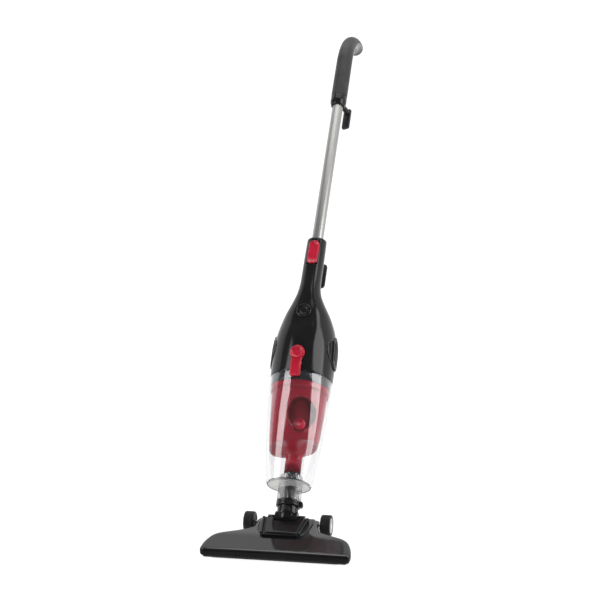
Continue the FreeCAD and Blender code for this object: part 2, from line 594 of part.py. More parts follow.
# ---------------------------------------------------------------- tube and grip
def half_section(name, front):
    """Grip piece swept along the curled path: the front pad or the rear body."""
    body = doc.addObject("PartDesign::Body", name)
    half = number("grip_half")
    split = -3.0
    section = sketch_on(body, f"{name}_section", "XY_Plane", "grip_low")
    edge_x = math.sqrt(half * half - split * split)
    edge_angle = math.atan2(split, edge_x)
    circle = Part.Circle(FreeCAD.Vector(), FreeCAD.Vector(0, 0, 1), half)
    if front:
        section.addGeometry(Part.ArcOfCircle(circle, math.pi - edge_angle, 2 * math.pi + edge_angle))
        section.addGeometry(Part.LineSegment(FreeCAD.Vector(edge_x, split, 0), FreeCAD.Vector(-edge_x, split, 0)))
    else:
        section.addGeometry(Part.ArcOfCircle(circle, edge_angle, math.pi - edge_angle))
        section.addGeometry(Part.LineSegment(FreeCAD.Vector(-edge_x, split, 0), FreeCAD.Vector(edge_x, split, 0)))
    size = section.addConstraint(Sketcher.Constraint("Radius", 0, half))
    section.setExpression(f"Constraints[{size}]", formula("grip_half"))
    path = sketch_on(body, f"{name}_path", "YZ_Plane")
    start = number("curl_start")
    reach = number("curl_radius")
    path.addGeometry(Part.LineSegment(FreeCAD.Vector(0, number("grip_low"), 0), FreeCAD.Vector(0, start, 0)))
    bow = Part.Circle(FreeCAD.Vector(reach, start, 0), FreeCAD.Vector(0, 0, 1), reach)
    path.addGeometry(Part.ArcOfCircle(bow, math.pi - math.radians(CURL), math.pi))
    sweep = body.newObject("PartDesign::AdditivePipe", f"{name}_sweep")
    sweep.Profile = section
    sweep.Spine = (path, ["Edge1", "Edge2"])
    return body


def tube_and_grip():
    tube = ring("tube_turn", "tube_radius - tube_wall", "tube_radius", "tube_low", "tube_top")
    subpart(tube, "extension_tube", GRIP)
    foot = ring("foot_turn", "7", "tube_radius - tube_wall - 0.02", "tube_low", "tube_low + 25")
    subpart(foot, "tube_foot", GRIP)
    for name, label, front in (("pad_half", "grip_pad", True), ("body_half", "grip_body", False)):
        half = half_section(name, front)
        bore = rod(f"{name}_bore", "tube_radius + 0.03", "tube_top + 2 - grip_low + 10", ("0", "0", "grip_low - 10"))
        subpart(cut(f"{name}_bored", half, bore), label, HAND)
    angle = math.radians(CURL)
    reach = number("curl_radius")
    tip = FreeCAD.Vector(0, reach - reach * math.cos(angle), number("curl_start") + reach * math.sin(angle))
    cap = turned("cap_turn", [("0", "0.05"), ("grip_half", "0.05"), ("grip_half", "3"), ("grip_half - 3", "6"),
                              ("0", "6")])
    cap.Placement = FreeCAD.Placement(tip, FreeCAD.Rotation(FreeCAD.Vector(1, 0, 0), -CURL))
    subpart(cap, "grip_end_cap", HAND)
    collar = turned("grip_collar_turn", [
        ("tube_radius + 0.03", "grip_low - collar_drop"), ("14", "grip_low - collar_drop"),
        ("17", "grip_low - collar_drop + 8"), ("17", "grip_low - 0.05"), ("tube_radius + 0.03", "grip_low - 0.05")])
    bore = rod("hook_bore", "3.05", "20", ("0", "tube_radius + 1.5", "grip_low - 10"), "y")
    subpart(cut("grip_collar_bored", collar, bore), "grip_collar", GRIP)
    stub = rod("hook_stub", "3", "hook_reach - 15", ("0", "tube_radius + 2", "grip_low - 10"), "y")
    arm = rod("hook_arm_round", "6", "hook_reach - 18.5", ("0", "17.3", "grip_low - 10"), "y")
    plate = box("hook_up_plate", ("0 - hook_half", "hook_half"), ("hook_reach - 6", "hook_reach"),
                ("grip_low - 54", "grip_low - 2"))
    subpart(fuse("hook_up", stub, arm, plate), "upper_cord_hook", GRIP)


floor_head()
for side, sign in SIDES:
    wheel_set(side, sign)
neck()
dust_cup()
motor_unit()
motor()
tube_and_grip()
doc.recompute()

# ---------------------------------------------------------------- checks and export
for thing in doc.Objects:
    if "Invalid" in thing.State or "Error" in thing.State:
        raise RuntimeError(f"{thing.Name} failed: {thing.State}")
os.makedirs("parts", exist_ok=True)
for piece in subparts:
    shape = piece.Shape
    if shape.isNull() or not shape.isValid() or not shape.Solids:
        raise RuntimeError(f"{piece.Label} has no valid solid")
    shape.exportStep(f"parts/{piece.Label}.step")
    print(f"{piece.Label}: {len(shape.Solids)} solid(s), {shape.Volume / 1000:.1f} cm3")
print(len(subparts), "pieces")
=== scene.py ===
"""Looks of the upright stick vacuum cleaner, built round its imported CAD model.

Pieces are shaped in millimetres in one of the stick's own frames, then placed in metres. The frames
come from the record's joints: the neck hinge, the motor shaft, the steel tube and the cord hook.
"""

import json
import math
import random

import bmesh
import bpy
from mathutils import Matrix, Vector
from mathutils.bvhtree import BVHTree


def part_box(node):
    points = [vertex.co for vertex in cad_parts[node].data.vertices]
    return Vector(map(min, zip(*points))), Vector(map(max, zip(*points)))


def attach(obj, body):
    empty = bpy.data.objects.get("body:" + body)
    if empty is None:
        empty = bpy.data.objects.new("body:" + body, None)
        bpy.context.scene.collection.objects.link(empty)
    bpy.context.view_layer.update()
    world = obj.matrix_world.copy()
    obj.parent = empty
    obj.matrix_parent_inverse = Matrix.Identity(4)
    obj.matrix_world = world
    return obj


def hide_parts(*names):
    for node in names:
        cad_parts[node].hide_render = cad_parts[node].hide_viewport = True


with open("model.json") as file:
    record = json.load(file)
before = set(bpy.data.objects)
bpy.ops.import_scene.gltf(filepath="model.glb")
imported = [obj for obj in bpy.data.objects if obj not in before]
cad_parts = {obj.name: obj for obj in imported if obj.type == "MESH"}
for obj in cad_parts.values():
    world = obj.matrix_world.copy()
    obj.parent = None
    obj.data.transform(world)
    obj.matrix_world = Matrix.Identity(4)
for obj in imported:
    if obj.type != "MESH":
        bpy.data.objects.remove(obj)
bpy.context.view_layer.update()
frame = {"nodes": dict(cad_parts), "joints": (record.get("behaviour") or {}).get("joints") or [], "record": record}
random.seed(11)
TURN = 2 * math.pi
SHARP = 38.0   # degrees between faces above which an edge stays sharp

# ---------------------------------------------------------------- frames of the stick
joints = {joint["name"]: joint for joint in frame["joints"]}
ACROSS = Vector((1, 0, 0))
SHAFT_POINT_S = 315.0   # station of the motor joint along the cup axis, mm
HOOK_POINT_V = 497.0    # station of the hook joint along the tube axis, mm


def placed(origin, x_axis, z_axis):
    """Matrix from millimetres in a frame with these axes to metres in the row frame."""
    turn = Matrix((x_axis, z_axis.cross(x_axis), z_axis)).transposed().to_4x4()
    turn.translation = origin
    return turn @ Matrix.Scale(0.001, 4)


stick = Vector(joints["rotor_spin"]["axis"])
tube_line = -Vector(joints["tube_pull"]["axis"])
hook_line = Vector(joints["hook_turn"]["axis"])
WORLD = Matrix.Scale(0.001, 4)
NECK = placed(Vector(joints["neck_pitch"]["pos_m"]), ACROSS, stick)
CUP = placed(Vector(joints["rotor_spin"]["pos_m"]) - stick * SHAFT_POINT_S / 1000, ACROSS, stick)
hand_origin = Vector(joints["hook_turn"]["pos_m"]) - tube_line * HOOK_POINT_V / 1000
HAND = placed(hand_origin, ACROSS, tube_line)
GRIP = placed(hand_origin, hook_line.cross(tube_line), tube_line)


# ---------------------------------------------------------------- materials
def coordinates(tree, lean=0.0, stretch=(1, 1, 1)):
    """Row-frame coordinates, turned upright along a leaning axis and stretched."""
    place = tree.nodes.new("ShaderNodeTexCoord")
    upright = tree.nodes.new("ShaderNodeMapping")
    upright.inputs["Rotation"].default_value = (math.radians(lean), 0, 0)
    scaled = tree.nodes.new("ShaderNodeMapping")
    scaled.inputs["Scale"].default_value = stretch
    tree.links.new(place.outputs["Object"], upright.inputs["Vector"])
    tree.links.new(upright.outputs[0], scaled.inputs["Vector"])
    return scaled.outputs[0]


def noise(tree, where, scale, detail=3.0, rough=0.5):
    cloud = tree.nodes.new("ShaderNodeTexNoise")
    cloud.inputs["Scale"].default_value = scale
    cloud.inputs["Detail"].default_value = detail
    cloud.inputs["Roughness"].default_value = rough
    tree.links.new(where, cloud.inputs["Vector"])
    return cloud.outputs["Fac"]


def remap(tree, value, low, high, from_low=0.3, from_high=0.7):
    spread = tree.nodes.new("ShaderNodeMapRange")
    spread.inputs["From Min"].default_value = from_low
    spread.inputs["From Max"].default_value = from_high
    spread.inputs["To Min"].default_value = low
    spread.inputs["To Max"].default_value = high
    tree.links.new(value, spread.inputs["Value"])
    return spread.outputs[0]


def blended(tree, amount, first, second):
    mix = tree.nodes.new("ShaderNodeMix")
    mix.data_type = "RGBA"
    tree.links.new(amount, mix.inputs["Factor"])
    mix.inputs["A"].default_value = (*first, 1)
    mix.inputs["B"].default_value = (*second, 1)
    return mix.outputs["Result"]


def surface(name, colour, roughness, second=None, grain=1200.0, bump=0.05, depth=0.0002, lean=0.0,
            stretch=(1, 1, 1), patch=35.0, wear=0.25, **settings):
    """Procedural finish: colour patches, worn edges, uneven roughness and a grain bump."""
    made = bpy.data.materials.new(name)
    made.use_nodes = True
    tree = made.node_tree
    shader = tree.nodes["Principled BSDF"]
    where = coordinates(tree, lean, stretch)
    second = second or tuple(min(1.0, part * 1.25 + 0.004) for part in colour)
    patches = noise(tree, where, patch, 5.0)
    edges = tree.nodes.new("ShaderNodeNewGeometry").outputs["Pointiness"]
    worn = remap(tree, edges, 0.0, wear, 0.52, 0.6)
    amount = tree.nodes.new("ShaderNodeMath")
    amount.operation = "ADD"
    amount.use_clamp = True
    tree.links.new(remap(tree, patches, 0.0, 0.7), amount.inputs[0])
    tree.links.new(worn, amount.inputs[1])
    tree.links.new(blended(tree, amount.outputs[0], colour, second), shader.inputs["Base Color"])
    smears = noise(tree, where, patch * 0.6, 6.0, 0.6)
    tree.links.new(remap(tree, smears, roughness * 0.75, roughness * 1.35), shader.inputs["Roughness"])
    relief = tree.nodes.new("ShaderNodeBump")
    relief.inputs["Strength"].default_value = bump
    relief.inputs["Distance"].default_value = depth
    tree.links.new(noise(tree, where, grain, 3.0), relief.inputs["Height"])
    tree.links.new(relief.outputs[0], shader.inputs["Normal"])
    for key, value in settings.items():
        shader.inputs[key.replace("_", " ")].default_value = value
    return made


BLACK = (0.006, 0.006, 0.0068)
finishes = {
    "gloss_black": surface("gloss_black", BLACK, 0.12, grain=700, bump=0.03, Specular_IOR_Level=0.27),
    "satin_black": surface("satin_black", (0.009, 0.009, 0.0095), 0.36, grain=2600, bump=0.22,
                           Specular_IOR_Level=0.3),
    "soft_grip": surface("soft_grip", (0.014, 0.014, 0.015), 0.46, grain=3200, bump=0.3,
                         Specular_IOR_Level=0.35),
    "red_gloss": surface("red_gloss", (0.42, 0.004, 0.024), 0.2, second=(0.48, 0.009, 0.034), grain=800,
                         bump=0.04, Specular_IOR_Level=0.35, Coat_Weight=0.2, Coat_Roughness=0.06),
    "red_clear": surface("red_clear", (0.74, 0.004, 0.045), 0.16, second=(0.8, 0.012, 0.07), grain=500,
                         bump=0.05, Transmission_Weight=0.3, Specular_IOR_Level=0.4),
    "clear_plastic": surface("clear_plastic", (0.97, 0.972, 0.978), 0.015, second=(0.98, 0.982, 0.985),
                             grain=90, bump=0.02, Transmission_Weight=1.0, IOR=1.45, Coat_Weight=0.2),
    "steel_tube": surface("steel_tube", (0.3, 0.296, 0.29), 0.33, second=(0.42, 0.415, 0.405), grain=1500,
                          bump=0.12, lean=48.3, stretch=(1, 1, 0.02), patch=160, Metallic=1.0),
    "steel_pin": surface("steel_pin", (0.55, 0.55, 0.55), 0.28, grain=1800, bump=0.1, Metallic=1.0),
    "black_rubber": surface("black_rubber", (0.012, 0.012, 0.012), 0.55, grain=1800, bump=0.25),
    "tyre_rubber": surface("tyre_rubber", (0.008, 0.008, 0.009), 0.55, grain=1500, bump=0.4,
                           Specular_IOR_Level=0.3),
    "hub_grey": surface("hub_grey", (0.4, 0.4, 0.41), 0.35, grain=1800, bump=0.15),
    "bristle": surface("bristle", (0.02, 0.02, 0.02), 0.7, grain=3000, bump=0.5, Sheen_Weight=0.3),
    "felt": surface("felt", (0.05, 0.05, 0.055), 0.95, grain=2600, bump=0.8, Sheen_Weight=0.4),
    "foam": surface("foam", (0.03, 0.03, 0.035), 0.95, grain=900, bump=1.0, depth=0.001),
    "filter_paper": surface("filter_paper", (0.7, 0.7, 0.66), 0.9, grain=1800, bump=0.4),
    "navy_plastic": surface("navy_plastic", (0.008, 0.014, 0.024), 0.17, grain=700, bump=0.04,
                            Coat_Weight=0.4),
    "copper_iron": surface("copper_iron", (0.35, 0.17, 0.08), 0.4, second=(0.2, 0.19, 0.18), grain=900,
                           bump=0.3, Metallic=1.0),
    "aluminium_fan": surface("aluminium_fan", (0.7, 0.7, 0.71), 0.3, grain=1600, bump=0.15, Metallic=1.0),
}

thick = finishes["clear_plastic"].node_tree
depth_tint = thick.nodes.new("ShaderNodeVolumeAbsorption")
depth_tint.inputs["Color"].default_value = (0.1, 0.12, 0.16, 1)
depth_tint.inputs["Density"].default_value = 36.0
thick.links.new(depth_tint.outputs[0], thick.nodes["Material Output"].inputs["Volume"])

for part in frame["record"]["subparts"]:
    solid = frame["nodes"][part["node"]]
    solid.data.materials.clear()
    solid.data.materials.append(finishes[part["material_slot"]])


# ---------------------------------------------------------------- mesh helpers
def smooth_rows(rows, steps=5):
    """Catmull-Rom rows through rows of numbers."""
    ends = [rows[0]] + list(rows) + [rows[-1]]
    made = []
    for before, start, stop, after in zip(ends, ends[1:], ends[2:], ends[3:]):
        for step in range(steps):
            t = step / steps
            made.append(tuple(
                0.5 * (2 * q + (r - p) * t + (2 * p - 5 * q + 4 * r - s) * t * t
                       + (3 * q - p - 3 * r + s) * t ** 3)
                for p, q, r, s in zip(before, start, stop, after)))
    made.append(tuple(rows[-1]))
    return made


def softened(points, radius, closed=True, steps=4):
    """Outline with each corner rounded by up to a radius."""
    made = []
    count = len(points)
    for index, corner in enumerate(points):
        here = Vector(corner)
        if not closed and index in (0, count - 1):
            made.append(here)
            continue
        before = Vector(points[index - 1]) - here
        after = Vector(points[(index + 1) % count]) - here
        start = here + before.normalized() * min(radius, before.length * 0.45)
        stop = here + after.normalized() * min(radius, after.length * 0.45)
        for step in range(steps + 1):
            t = step / steps
            made.append(start * (1 - t) ** 2 + here * 2 * t * (1 - t) + stop * t * t)
    return made


def skin(rings, caps=True, closed=False):
    """Mesh over rings of points; closed joins the last ring to the first."""
    mesh = bmesh.new()
    rows = [[mesh.verts.new(point) for point in ring] for ring in rings]
    pairs = list(zip(rows, rows[1:])) + ([(rows[-1], rows[0])] if closed else [])
    for low, high in pairs:
        for index in range(len(low)):
            after = (index + 1) % len(low)
            mesh.faces.new((low[index], low[after], high[after], high[index]))
    if caps and not closed:
        mesh.faces.new(list(reversed(rows[0])))
        mesh.faces.new(rows[-1])
    bmesh.ops.recalc_face_normals(mesh, faces=mesh.faces)
    return mesh


def lathe(profile, steps=72, closed=False, centre=(0, 0), wave=None):
    """Turned mesh from (radius, height) points; wave gives the radius at an angle."""
    rings = []
    for radius, height in profile:
        ring = []
        for index in range(steps):
            angle = TURN * index / steps
            reach = wave(angle, radius, height) if wave else max(radius, 0.01)
            ring.append((centre[0] + reach * math.cos(angle), centre[1] + reach * math.sin(angle), height))
        rings.append(ring)
    return skin(rings, closed=closed)


def prism(outline, low, high, axis="z", edge=0.8):
    """Rounded slab over an outline in the plane across an axis."""
    levels = [(low, -edge), (low + 0.3 * edge, -0.3 * edge), (low + edge, 0), (high - edge, 0),
              (high - 0.3 * edge, -0.3 * edge), (high, -edge)]
    middle = sum((Vector(point) for point in outline), Vector((0, 0))) / len(outline)
    rings = []
    for level, grow in levels:
        ring = []
        for point in outline:
            arm = Vector(point) - middle
            flat = middle + arm * (1 + grow / arm.length)
            ring.append({"z": (flat[0], flat[1], level), "y": (flat[0], level, flat[1]),
                         "x": (level, flat[0], flat[1])}[axis])
        rings.append(ring)
    return skin(rings)


def merged(*meshes):
    """All the meshes in one."""
    total = bmesh.new()
    for mesh in meshes:
        spare = bpy.data.meshes.new("spare")
        mesh.to_mesh(spare)
        mesh.free()
        total.from_mesh(spare)
        bpy.data.meshes.remove(spare)
    return total


def moved(mesh, matrix):
    mesh.transform(matrix)
    return mesh


def new_object(name, mesh, where):
    data = bpy.data.meshes.new(name)
    mesh.to_mesh(data)
    mesh.free()
    data.transform(where)
    made = bpy.data.objects.new(name, data)
    bpy.context.scene.collection.objects.link(made)
    return made


def settle(made):
    """Apply an object's modifiers to its mesh."""
    bpy.context.view_layer.update()
    evaluated = made.evaluated_get(bpy.context.evaluated_depsgraph_get())
    data = bpy.data.meshes.new_from_object(evaluated)
    made.modifiers.clear()
    made.data = data


def dress(made, slot, body, nodes=(), angle=SHARP):
    """Shade, colour and attach a finished piece."""
    data = made.data
    data.materials.clear()
    data.materials.append(finishes[slot])
    if angle:
        data.shade_smooth()
        data.set_sharp_from_angle(angle=math.radians(angle))
    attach(made, body)
    if nodes:
        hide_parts(*nodes)
    return made


def piece(name, mesh, where, slot, body, nodes=(), angle=SHARP):
    return dress(new_object(name, mesh, where), slot, body, nodes, angle)


def carve(made, where, *cutters):
    """Cut closed meshes out of an object, one after another."""
    for cutter in cutters:
        tool = new_object("cutter", cutter, where)
        step = made.modifiers.new("carve", "BOOLEAN")
        step.object = tool
        step.solver = "EXACT"
        settle(made)
        bpy.data.objects.remove(tool)


def uncut_copy(made):
    """Smooth-shaded copy of an object, taken before it is cut."""
    source = made.copy()
    source.data = made.data.copy()
    bpy.context.scene.collection.objects.link(source)
    source.data.shade_smooth()
    source.data.set_sharp_from_angle(angle=math.radians(SHARP))
    return source


def keep_normals(made, source, reach=0.00006):
    """Give an object's outer skin the shading of its uncut copy, and drop the copy."""
    tree = BVHTree.FromObject(source, bpy.context.evaluated_depsgraph_get())
    group = made.vertex_groups.new(name="outer")
    near = [vert.index for vert in made.data.vertices if tree.find_nearest(vert.co, reach)[0]]
    group.add(near, 1.0, "REPLACE")
    step = made.modifiers.new("normals", "DATA_TRANSFER")
    step.object = source
    step.use_loop_data = True
    step.data_types_loops = {"CUSTOM_NORMAL"}
    step.loop_mapping = "POLYINTERP_NEAREST"
    step.vertex_group = "outer"
    settle(made)
    made.vertex_groups.clear()
    bpy.data.objects.remove(source)


def circle(radius, count=48, x=0.0, y=0.0):
    return [(x + radius * math.cos(TURN * i / count), y + radius * math.sin(TURN * i / count))
            for i in range(count)]


def block(x, y, z):
    """Closed box mesh between low and high corners, for cutting."""
    corners = [(x[0], y[0]), (x[1], y[0]), (x[1], y[1]), (x[0], y[1])]
    return skin([[(a, b, z[0]) for a, b in corners], [(a, b, z[1]) for a, b in corners]])


# ---------------------------------------------------------------- floor head
PLAN = [  # y, half width, height of the top face
    (-110, 126.5, 15.5), (-109.2, 129, 17.4), (-107.5, 131.3, 18.8), (-104, 132.8, 19.8), (-97, 133, 20.6),
    (-84, 131.5, 21.9), (-70, 127, 23.4), (-60, 121, 24.5), (-53, 112, 24.9), (-46, 97, 25), (-40, 84, 25),
    (-32, 71.5, 25), (-22, 64, 25), (-10, 59.6, 25), (4, 57.4, 25), (14, 56.6, 24.6), (20, 56.2, 22.6),
    (23, 55.6, 20.4), (24, 54.8, 18.6)]


def head_ring(y, half, top, base=7.0, edge=5.0, samples=30):
    """Section across the head: flat base, upright side, rounded shoulder, gently crowned top."""
    edge = min(edge, top - base - 1)
    ring = [(half - 1.2, y, base), (half, y, base + 1.0), (half, y, top - edge)]
    for step in range(1, 7):
        angle = math.pi / 2 * step / 6
        ring.append((half - edge * (1 - math.cos(angle)) * 1.25, y, top - edge + edge * math.sin(angle)))
    inner = half - edge * 1.25
    ring += [(inner * (1 - 2 * step / samples), y, top + 0.7 * (1 - (1 - 2 * step / samples) ** 2))
             for step in range(1, samples)]
    return ring + [(-x, y, z) for x, y, z in reversed(ring[:9])]


def notch():
    """Rounded way for the neck at the back of the head."""
    outline = softened([(-21, -21), (21, -21), (21, 40), (-21, 40)], 8, steps=6)
    return skin([[(p[0], p[1], 10) for p in outline], [(p[0], p[1], 60) for p in outline]])


cover_skin = skin([head_ring(*row) for row in smooth_rows(PLAN, 4)])
cover = new_object("head_shell", cover_skin, WORLD)
cover_source = uncut_copy(cover)
raised = skin([head_ring(y, half, top, 8.0, 3.0) for y, half, top in smooth_rows([
    (-58, 31, 24.6), (-56.5, 34, 25.6), (-52, 38, 26.6), (-44, 42.5, 27.4), (-30, 47, 27.9), (-12, 49, 28),
    (0, 49, 28), (12, 49, 27.8), (19, 48.6, 25.4), (23, 48, 20)], 3)])
carve(cover, WORLD, notch(), block((-112, 112), (-97, -51), (0, 17)), block((-17, 17), (-63, -16), (0, 25)))
keep_normals(cover, cover_source)
dress(cover, "gloss_black", "floor_head", ("head_cover",), angle=0)
cover.data.materials[0] = surface("head_top", BLACK, 0.1, grain=700, bump=0.02, Specular_IOR_Level=0.45)
# painted shade: the low upright faces of the head (front and sides) get a darker, less glossy copy of the gloss
# black, so they read darker than the top
cover.data.materials.append(surface("head_band_painted_shade", (0.004, 0.004, 0.0045), 0.3, grain=1400, bump=0.1,
                                    Specular_IOR_Level=0.1))
# painted shade: faces standing upright low on the head are picked by their direction for the darker copy
for face in cover.data.polygons:
    if abs(face.normal[2]) < 0.55 and face.center[2] < 0.0185:
        face.material_index = 1
saddle = new_object("head_saddle", raised, WORLD)
carve(saddle, WORLD, notch(), block((-17, 17), (-57, -16), (0, 25)))
dress(saddle, "gloss_black", "floor_head")


def cheek(side):
    outline = [(-8.5, 24)] + [(-1 + 8.6 * math.cos(a), 30.4 + 8.6 * math.sin(a))
                              for a in [math.pi - math.pi * i / 18 for i in range(19)]] + [(12, 24)]
    inner, outer = sorted((side * 21.2, side * 33.8))
    return prism([Vector((y, z)) for y, z in outline], inner, outer, "x", 1.2)


piece("pivot_cheeks", merged(cheek(1), cheek(-1)), WORLD, "gloss_black", "floor_head")


def hood_ring(y, half, top):
    """Hood section: two raised rails with a groove beside each, and a crowned field."""
    field = half - 7.5
    right = [(half + 1.0, 27.8), (half + 1.0, top - 2.2), (half + 0.4, top - 0.6), (half - 0.8, top + 0.2),
             (half - 3.2, top + 0.2), (half - 4.2, top - 0.4), (half - 4.8, top - 1.9),
             (half - 5.6, top - 2.0), (half - 6.4, top - 1.6), (field, top - 0.5)]
    across = [(field * (1 - step / 10), top - 0.5 + 0.9 * (1 - (1 - step / 10) ** 2))
              for step in range(1, 11)]
    half_ring = right + across
    return [(x, y, z) for x, z in half_ring] + [(-x, y, z) for x, z in reversed(half_ring[:-1])]


hood_rows = [(-56.6, 34.2, 30.2), (-56.2, 35, 31.4), (-54.5, 35.3, 32.4), (-50, 35.9, 33.2),
             (-30, 38.8, 36.2), (-12, 41.3, 38.7), (-7.6, 41.8, 39.0), (-6.2, 41.6, 38.2)]
hood = new_object("pivot_hood_panel", skin([hood_ring(*row) for row in smooth_rows(hood_rows, 3)]), WORLD)
pockets = [block(sorted((side * 20, side * 34.6)), (-9.6, 0), (20, 50)) for side in (1, -1)]
carve(hood, WORLD, notch(), *pockets)
dress(hood, "gloss_black", "floor_head", ("pivot_hood",))
step_outline = softened([(-32, -60.5), (32, -60.5), (33.5, -57.2), (-33.5, -57.2)], 1.6, steps=5)
piece("hood_step", prism(step_outline, 24, 29.6, "z", 1.1), WORLD, "gloss_black", "floor_head")


def tufts(front, back, rows):
    """Rows of short slanted bristle tufts."""
    total = bmesh.new()
    count = 74
    for row in range(rows):
        y = front + (back - front) * (row + 0.5) / rows
        for index in range(count):
            x = -110.4 + 220.8 * (index + 0.5 * (row % 2)) / (count - 0.5)
            drift = random.uniform(-0.35, 0.35)
            low = [total.verts.new((x + drift + 0.95 * math.cos(a), y + 0.6 * math.sin(a), 0.05))
                   for a in (0.4, 1.7, 3.0, 4.2, 5.5)]
            high = [total.verts.new((x + 0.6 * math.cos(a), y + 0.45 * math.sin(a), 2.9))
                    for a in (0.4, 1.7, 3.0, 4.2, 5.5)]
            for i in range(5):
                total.faces.new((low[i], low[(i + 1) % 5], high[(i + 1) % 5], high[i]))
            total.faces.new(list(reversed(low)))
            total.faces.new(high)
    return total


piece("front_bristles", tufts(-104, -99, 4), WORLD, "bristle", "floor_head", ("front_bristle_strip",))
piece("rear_bristles", tufts(-68, -63, 4), WORLD, "bristle", "floor_head", ("rear_bristle_strip",))


# ---------------------------------------------------------------- wheels
def wheel(side, sign):
    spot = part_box(f"wheel_hub_{side}")
    middle = (spot[0] + spot[1]) / 2
    where = placed(Vector((sign * 0.061, middle[1], middle[2])), Vector((0, 0, -sign)), Vector((sign, 0, 0)))
    tread = softened([(14.05, 0.4), (17.8, 0.4), (18.95, 2), (18.95, 17), (17.8, 18.6), (14.05, 18.6)], 1.0)

    def ribs(angle, radius, height):
        if radius < 17 or not 2.2 < height < 16.8:
            return radius
        lane = int(height // 5)
        return radius - (0.55 if math.sin(angle * 34 + lane * 1.6) > 0.35 else 0.0)

    rows = [(p[0], p[1]) for p in tread]
    lanes = []
    for index, row in enumerate(rows):
        lanes.append(row)
        after = rows[(index + 1) % len(rows)]
        if abs(after[1] - row[1]) > 8 and row[0] > 17:
            lanes += [(row[0] + (after[0] - row[0]) * t / 14, row[1] + (after[1] - row[1]) * t / 14)
                      for t in range(1, 14)]
    body = f"wheel_{side}"
    piece(f"tyre_{side}", lathe(lanes, 204, closed=True, wave=ribs), where, "tyre_rubber", body,
          (f"wheel_tyre_{side}",), 30)
    face = softened([(3.1, 1.0), (13.9, 1.0), (13.9, 18.4), (12.9, 18.4), (12.0, 17.2), (10.4, 16.8),
                     (9.8, 16.2), (6.6, 15.9), (5.8, 16.4), (3.1, 16.4)], 0.5, steps=3)
    hub_mesh = lathe(face, 72, closed=True)
    inner_faces = [index for index, part in enumerate(hub_mesh.faces) if part.calc_center_median().z < 9]
    hub = piece(f"hub_{side}", hub_mesh, where, "hub_grey", body, (f"wheel_hub_{side}",), 30)
    hub.data.materials.append(finishes["tyre_rubber"])
    for index in inner_faces:
        hub.data.polygons[index].material_index = 1


wheel("right", 1)
wheel("left", -1)

# ---------------------------------------------------------------- neck
neck_wall = softened([(15.2, 10), (16.4, 6.2), (18.2, 6.2), (19, 8.6), (19, 31.8), (11.7, 31.8),
                      (11.7, 60), (9.8, 60), (9.8, 29), (15.2, 26)], 0.9, steps=4)
drum_ring = [(-20.5, 12.2), (-19.9, 13), (19.9, 13), (20.5, 12.2), (20.5, 3.1), (-20.5, 3.1)]
drum_mesh = lathe([(r, x) for x, r in drum_ring], 60, closed=True)
moved(drum_mesh, Matrix.Rotation(math.pi / 2, 4, "Y"))
shoulder = lathe([(16.6, -2), (16.9, 2), (16.9, 9), (16, 10)], 60)
piece("neck_pipe", merged(lathe(neck_wall, 96, closed=True), drum_mesh, shoulder), NECK,
      "gloss_black", "neck", ("neck_tube",))


def arch():
    """Arched boss at the foot of the neck's front."""
    rings = []
    for grow, lift in ((0.0, -0.8), (0.0, 0.5), (-0.5, 0.95), (-1.6, 1.15)):
        ring = []
        for index in range(33):
            angle = math.pi * index / 32
            x = (8.4 + grow) * math.cos(angle)
            z = 10.5 + (9.5 + grow) * math.sin(angle)
            ring.append((x, -math.sqrt(19 ** 2 - x * x) - lift, z))
        rings.append(ring)
    return skin(rings)


piece("neck_arch", arch(), NECK, "satin_black", "neck")
collar_wall = softened([(19.15, 21.2), (21.4, 21.2), (22.5, 22.6), (22.5, 25.4), (21.9, 26), (21.9, 27),
                        (22.5, 27.6), (22.5, 31), (21.6, 31.9), (19.15, 31.9)], 0.5, steps=3)
piece("collar_ring", lathe(collar_wall, 96, closed=True), NECK, "gloss_black", "neck",
      ("neck_collar",))
tab_outline = softened([(21.2, 21.4), (25, 21.4), (27, 25), (26.2, 31), (24.5, 32), (21.2, 32)], 1.3)
piece("head_tab_key", prism(tab_outline, -5, 5, "y", 0.8), NECK, "satin_black", "head_tab",
      ("head_release_tab",))

# ---------------------------------------------------------------- dust cup
CUP_LINE = [(40.4, 56.2), (41.6, 60), (44.2, 75), (48.4, 106), (53.4, 152), (57.0, 200), (58.3, 240),
            (58.5, 259.2)]
outer = smooth_rows(CUP_LINE, 4)
inner = [(radius - 2.2, height) for radius, height in reversed(outer)]
foot = [(38.2, 55.2), (39.4, 55.1), (40.0, 55.5)]
piece("cup_bowl", lathe(foot + outer + inner, 144, closed=True), CUP, "clear_plastic", "cup",
      ("dust_cup",), 50)


def cup_floor():
    """Clear floor with an off-centre way for the inlet sleeve."""
    steps = 96
    rings = []
    for share, height in ((0.0, 57.4), (0.0, 55.4), (1.0, 55.4), (1.0, 57.4)):
        ring = []
        for index in range(steps):
            angle = TURN * index / steps
            x_in, y_in = 22.2 * math.cos(angle), 15 + 22.2 * math.sin(angle)
            x_out, y_out = 38.0 * math.cos(angle), 38.0 * math.sin(angle)
            ring.append((x_in + (x_out - x_in) * share, y_in + (y_out - y_in) * share, height))
        rings.append(ring)
    return skin(rings, closed=True)


plate = piece("cup_floor_plate", cup_floor(), CUP, "clear_plastic", "cup", ("cup_floor",))
plate.data.materials[0] = surface("cloudy_plastic", (0.88, 0.875, 0.85), 0.2, second=(0.92, 0.92, 0.9),
                                  grain=300, Transmission_Weight=0.7, IOR=1.4)
piece("floor_gasket", lathe([(37.5, 58.2), (38.5, 58.2), (38.5, 59.4), (37.5, 59.4)], 96, closed=True), CUP,
      "black_rubber", "cup", ("cup_floor_seal",))


def sleeve_ribs(angle, radius, height):
    swell = 0.55 * math.cos(angle * 26) + 0.35 * math.cos(height * 1.7)
    return radius + (swell if radius > 20.5 else 0.5 * swell)


